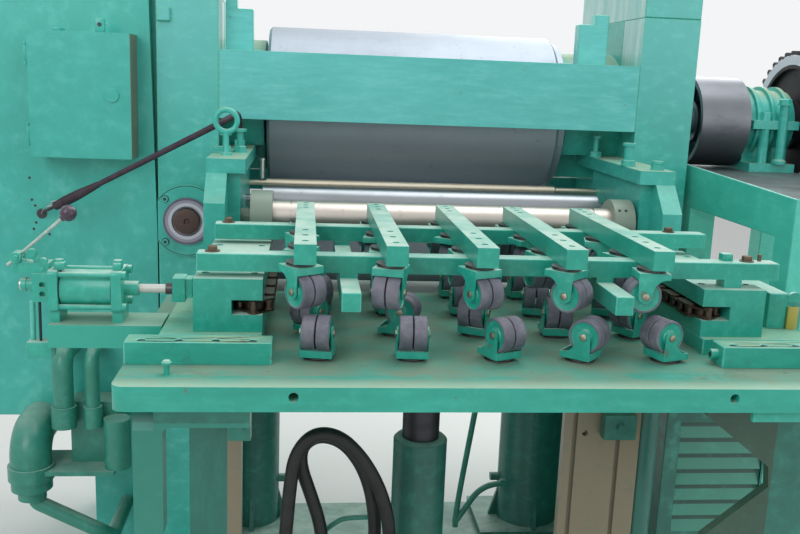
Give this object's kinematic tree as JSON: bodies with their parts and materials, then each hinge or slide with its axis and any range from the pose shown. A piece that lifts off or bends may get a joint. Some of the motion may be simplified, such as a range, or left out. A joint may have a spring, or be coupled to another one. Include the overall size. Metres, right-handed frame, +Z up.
{
  "type": "embossing machine",
  "caption": "Roll embossing machine with a lifting feed table, caster bars, side guide chains and an air cylinder.",
  "frame": {"origin": "on the floor, on the feed table's centre line, at the middle of the front cross sill", "axes": "+X to the drive side, +Y from the feed table back to the rolls, +Z up"},
  "size_m": [2.543, 1.749, 1.873],
  "materials": {
    "green_paint": "glossy brush-painted green enamel, worn and dusty",
    "bare_steel": "machined steel, oiled",
    "chrome": "ground and polished",
    "roll_steel": "engraved dark roll surface, scuffed",
    "brass": "worn brass",
    "dark_iron": "oily dark iron",
    "chain_steel": "oily brown steel",
    "grey_rubber": "grey rubber tread",
    "black_rubber": "black hydraulic hose",
    "cable_wrap": "dark tape wrapped round a cable",
    "lever_steel": "painted steel rod with a dark ball"
  },
  "bodies": {
    "machine": {"base_frame": "green_paint", "left_standard": "green_paint", "right_standard": "green_paint", "standard_caps": "green_paint", "roll_chocks": "green_paint", "cross_beams": "green_paint", "press_bolster": "green_paint", "press_cylinders": "green_paint", "roll_brackets": "green_paint", "brass_rod": "brass", "shaft_flange": "green_paint", "drive_shelf": "green_paint", "bearing_housing": "green_paint", "left_housing": "green_paint", "electrical_box": "green_paint", "lift_cylinder": "green_paint", "guide_columns": "bare_steel", "right_cabinet": "green_paint", "hydraulic_pipework": "green_paint", "roll_cable": "cable_wrap", "lift_hose_1": "black_rubber", "lift_hose_2": "black_rubber"},
    "lift_table": {"table_plate": "green_paint", "table_brackets": "green_paint", "table_rails": "green_paint", "lift_ram": "bare_steel", "right_guide_block": "green_paint", "right_chain": "chain_steel", "side_plate": "green_paint", "crossbars": "green_paint", "caster_bars": "green_paint", "lower_bars": "green_paint", "air_cylinder": "green_paint", "hand_valve": "green_paint", "upper_rear_forks": "green_paint", "upper_rear_wheels": "grey_rubber", "lower_forks": "green_paint", "lower_wheels": "grey_rubber"},
    "left_guide": {"left_guide_block": "green_paint", "left_chain": "chain_steel", "cylinder_rod": "bare_steel"},
    "embossing_roll_set": {"embossing_roll": "roll_steel", "drive_drum": "dark_iron", "drive_gear": "dark_iron"},
    "backing_roll_body": {"backing_roll": "roll_steel"},
    "chrome_roll_body": {"chrome_roll": "chrome"},
    "front_roll_body": {"front_roll": "chrome"},
    "door_body": {"box_door": "green_paint"},
    "lever_body": {"valve_lever": "lever_steel"},
    "caster_swivel_1": {"upper_fork_1": "green_paint"},
    "caster_wheel_1": {"upper_wheels_1": "grey_rubber"},
    "caster_swivel_2": {"upper_fork_2": "green_paint"},
    "caster_wheel_2": {"upper_wheels_2": "grey_rubber"},
    "caster_swivel_3": {"upper_fork_3": "green_paint"},
    "caster_wheel_3": {"upper_wheels_3": "grey_rubber"},
    "caster_swivel_4": {"upper_fork_4": "green_paint"},
    "caster_wheel_4": {"upper_wheels_4": "grey_rubber"},
    "caster_swivel_5": {"upper_fork_5": "green_paint"},
    "caster_wheel_5": {"upper_wheels_5": "grey_rubber"}
  },
  "joints": [
    {"name": "table_lift", "type": "slide", "parent": "machine", "child": "lift_table", "axis": [0, 0, 1], "range_m": [-0.06, 0.1]},
    {"name": "left_guide_slide", "type": "slide", "parent": "lift_table", "child": "left_guide", "axis": [-1, 0, 0], "range_m": [0, 0.045]},
    {"name": "embossing_roll_spin", "type": "hinge", "parent": "machine", "child": "embossing_roll_set", "pos_m": [0, 0.84, 1.408], "axis": [1, 0, 0], "continuous": true},
    {"name": "backing_roll_spin", "type": "hinge", "parent": "machine", "child": "backing_roll_body", "pos_m": [0, 0.84, 1.017], "axis": [1, 0, 0], "continuous": true},
    {"name": "chrome_roll_spin", "type": "hinge", "parent": "machine", "child": "chrome_roll_body", "pos_m": [0, 0.46, 1.168], "axis": [1, 0, 0], "continuous": true},
    {"name": "front_roll_spin", "type": "hinge", "parent": "machine", "child": "front_roll_body", "pos_m": [0, 0.28, 1.15], "axis": [1, 0, 0], "continuous": true},
    {"name": "box_door_hinge", "type": "hinge", "parent": "machine", "child": "door_body", "pos_m": [-1.0698, 0.4427, 1.4275], "axis": [0, 0, -1], "range_deg": [0, 110]},
    {"name": "valve_lever_hinge", "type": "hinge", "parent": "lift_table", "child": "lever_body", "pos_m": [-0.884, -0.29, 1.151], "axis": [0, 1, 0], "range_deg": [-15, 15]},
    {"name": "caster_swivel_1", "type": "hinge", "parent": "lift_table", "child": "caster_swivel_1", "pos_m": [-0.355, -0.413, 1.153], "axis": [0, 0, 1], "continuous": true},
    {"name": "caster_wheel_1", "type": "hinge", "parent": "caster_swivel_1", "child": "caster_wheel_1", "pos_m": [-0.3464, -0.42529, 1.124], "axis": [0.8192, 0.5736, 0], "continuous": true},
    {"name": "caster_swivel_2", "type": "hinge", "parent": "lift_table", "child": "caster_swivel_2", "pos_m": [-0.191, -0.413, 1.153], "axis": [0, 0, 1], "continuous": true},
    {"name": "caster_wheel_2", "type": "hinge", "parent": "caster_swivel_2", "child": "caster_wheel_2", "pos_m": [-0.19564, -0.42727, 1.124], "axis": [0.9511, -0.309, 0], "continuous": true},
    {"name": "caster_swivel_3", "type": "hinge", "parent": "lift_table", "child": "caster_swivel_3", "pos_m": [-0.027, -0.413, 1.153], "axis": [0, 0, 1], "continuous": true},
    {"name": "caster_wheel_3", "type": "hinge", "parent": "caster_swivel_3", "child": "caster_wheel_3", "pos_m": [-0.02066, -0.4266, 1.124], "axis": [0.9063, 0.4226, 0], "continuous": true},
    {"name": "caster_swivel_4", "type": "hinge", "parent": "lift_table", "child": "caster_swivel_4", "pos_m": [0.137, -0.413, 1.153], "axis": [0, 0, 1], "continuous": true},
    {"name": "caster_wheel_4", "type": "hinge", "parent": "caster_swivel_4", "child": "caster_wheel_4", "pos_m": [0.14761, -0.42361, 1.124], "axis": [0.7071, 0.7071, 0], "continuous": true},
    {"name": "caster_swivel_5", "type": "hinge", "parent": "lift_table", "child": "caster_swivel_5", "pos_m": [0.301, -0.413, 1.153], "axis": [0, 0, 1], "continuous": true},
    {"name": "caster_wheel_5", "type": "hinge", "parent": "caster_swivel_5", "child": "caster_wheel_5", "pos_m": [0.28606, -0.41169, 1.124], "axis": [-0.0872, -0.9962, 0], "continuous": true}
  ]
}
